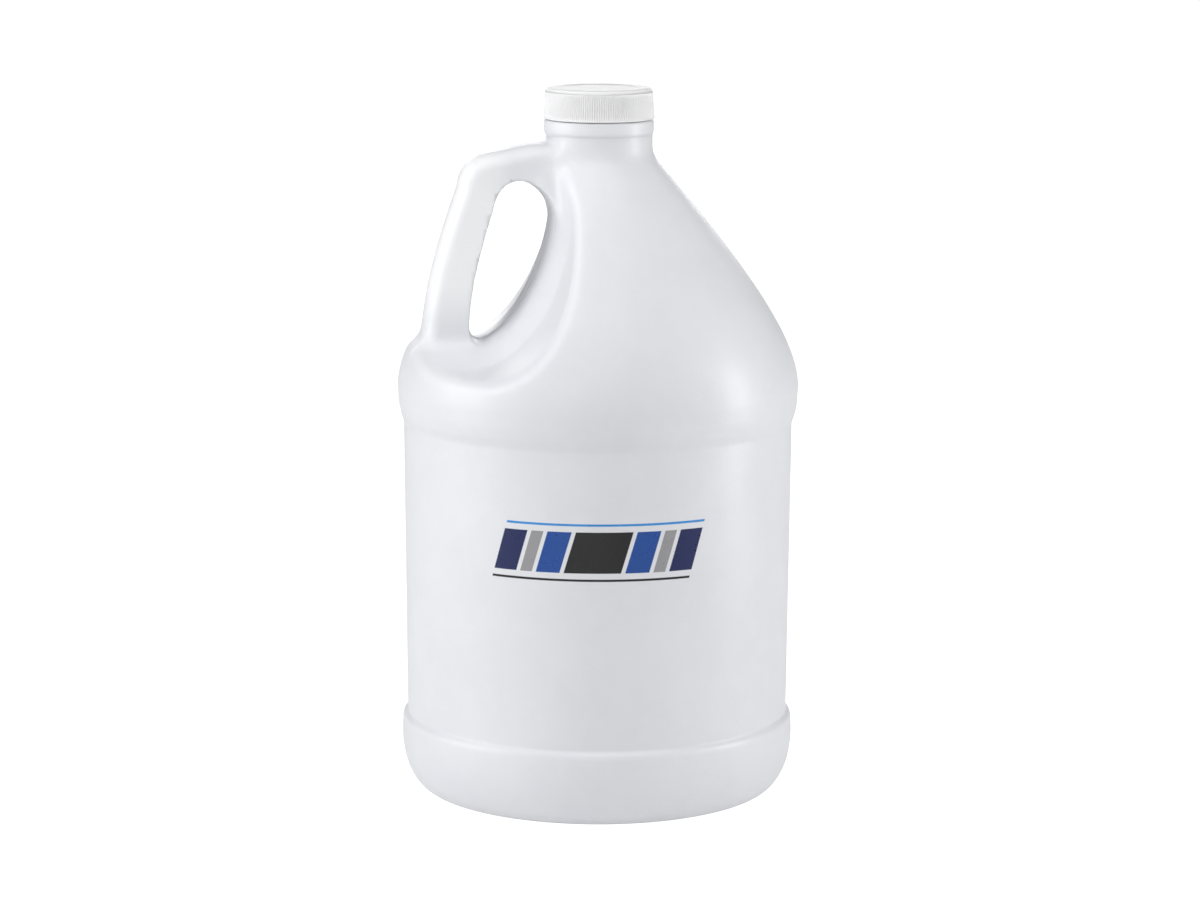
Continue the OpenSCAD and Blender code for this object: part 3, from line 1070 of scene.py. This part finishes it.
@dataclass(frozen=True)
class Softbox:
    """One upright or tilted area light that faces the jug, in metres and degrees.

    The azimuth is counted from the front, positive to the right. The tilt turns the light down.
    """

    name: str
    azimuth: float
    far: float
    height: float
    size: tuple
    tilt: float
    power: float

    def hang(self) -> None:
        """Hangs the light, out of sight of the camera."""
        data = bpy.data.lights.new(self.name, "AREA")
        data.shape = "RECTANGLE"
        data.size, data.size_y = self.size
        data.energy = self.power
        obj = bpy.data.objects.new(self.name, data)
        a = math.radians(self.azimuth)
        obj.location = (self.far * math.sin(a), -self.far * math.cos(a), self.height)
        obj.rotation_euler = (math.radians(90 - self.tilt), 0.0, a)
        obj.visible_camera = False
        bpy.context.scene.collection.objects.link(obj)


@dataclass
class Studio:
    """The pale floor, the soft light and the camera, in metres and radians."""

    turn: float = math.radians(-8.0)
    roll: float = math.radians(0.2)
    distance: float = 1.5375
    height: float = 0.407
    pitch: float = math.radians(10.0)
    lens: float = 117.4
    sensor: float = 36.0
    frame_shift: float = 0.0019
    floor_half: float = 40.0
    front_air: float = 0.344
    back_air: float = 0.12
    paper: float = 0.50
    paper_glow: float = 0.357
    paper_seen: float = 1.0
    boxes: tuple = (
        Softbox("left_wall", -85, 1.0, 0.50, (0.7, 1.2), 18, 7.2),
        Softbox("front_fill", -15, 1.0, 0.50, (0.7, 1.2), 18, 1.95),
        Softbox("right_wall", 60, 1.0, 0.50, (0.7, 1.2), 18, 1.0),
        Softbox("right_strip", 74, 0.5, 0.225, (0.06, 0.35), 0, 0.83),
        Softbox("overhead", -15, 0.30, 1.5, (1.2, 1.2), 78, 7.9),
        Softbox("back_wall", 172, 3.0, 0.62, (2.0, 0.5), 0, 13.0),
    )

    def camera(self) -> None:
        """Puts the camera at the picture's angle."""
        data = bpy.data.cameras.new("view")
        data.lens = self.lens
        data.sensor_width = self.sensor
        data.shift_x = self.frame_shift
        data.clip_end = 1.5 * self.floor_half
        obj = bpy.data.objects.new("view", data)
        across, back = self.distance * math.sin(self.turn), self.distance * math.cos(self.turn)
        obj.location = (across, -back, self.height)
        level = Euler((math.pi / 2 - self.pitch, 0.0, self.turn)).to_matrix()
        obj.rotation_euler = (level @ Matrix.Rotation(self.roll, 3, "Z")).to_euler()
        bpy.context.scene.collection.objects.link(obj)
        bpy.context.scene.camera = obj

    def floor(self) -> None:
        """Lays a wide sheet of pale paper that glows a little, as lit from beneath."""
        half = self.floor_half
        verts = np.array([[-half, -half, 0], [half, -half, 0], [half, half, 0], [-half, half, 0]]) / MM
        obj = mesh_object("studio_floor", verts, [np.array([[0, 1, 2, 3]])])
        mat = bpy.data.materials.new("studio_paper")
        mat.use_nodes = True
        desk = NodeDesk(mat.node_tree)
        shader = mat.node_tree.nodes["Principled BSDF"]
        for name, value in (("Base Color", (self.paper, self.paper, self.paper, 1)), ("Roughness", 0.9),
                            ("Emission Color", (1, 1, 1, 1))):
            shader.inputs[name].default_value = value
        seen = desk.add("ShaderNodeLightPath").outputs["Is Camera Ray"]
        glow = desk.math("MULTIPLY_ADD", seen, self.paper_seen - self.paper_glow, self.paper_glow)
        desk.put(shader.inputs["Emission Strength"], glow)
        obj.data.materials.append(mat)

    def air(self) -> None:
        """Fills the room with white light, dimmer on the camera's side."""
        world = bpy.data.worlds.new("studio_air")
        world.use_nodes = True
        desk = NodeDesk(world.node_tree)
        back = world.node_tree.nodes["Background"]
        back.inputs["Color"].default_value = (1, 1, 1, 1)
        along = desk.add("ShaderNodeVectorMath", operation="DOT_PRODUCT")
        desk.put(along.inputs[0], desk.add("ShaderNodeTexCoord").outputs["Generated"])
        along.inputs[1].default_value = (-math.sin(self.turn), math.cos(self.turn), 0.0)
        strength = desk.span(along.outputs["Value"], -0.3, 0.6, self.front_air, self.back_air)
        desk.put(back.inputs["Strength"], strength)
        bpy.context.scene.world = world

    def light(self) -> None:
        """Sets the air, the softboxes and the plain view."""
        self.air()
        for box in self.boxes:
            box.hang()
        view = bpy.context.scene.view_settings
        view.view_transform = "Standard"
        view.look = "None"


def dress(obj: bpy.types.Object, mat: bpy.types.Material, body: str, node: str) -> None:
    """Gives a piece its finish and ties it to the solids.

    Args:
        obj: The piece.
        mat: Its material.
        body: The body it rides on.
        node: The solid that it stands for.
    """
    obj.data.materials.append(mat)
    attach(obj, body)
    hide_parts(node)
    LOG.info("%s: %d faces", obj.name, len(obj.data.polygons))


def main() -> None:
    """Builds the jug, dresses it and sets the studio."""
    logging.basicConfig(level=logging.INFO, format="%(name)s: %(message)s")
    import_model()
    studio = Studio()
    studio.camera()
    paint = PlasticPaint(moulded_skin())
    dress(Bottle().build(), paint.jug(JUG_FINISH), "jug", "jug_body")
    dress(ScrewCap().build(), paint.plain(CAP_FINISH), "cap", "cap")
    dress(CapLiner().build(), paint.plain(FOAM_FINISH), "liner", "cap_liner")
    studio.floor()
    studio.light()


if __name__ == "__main__":
    main()
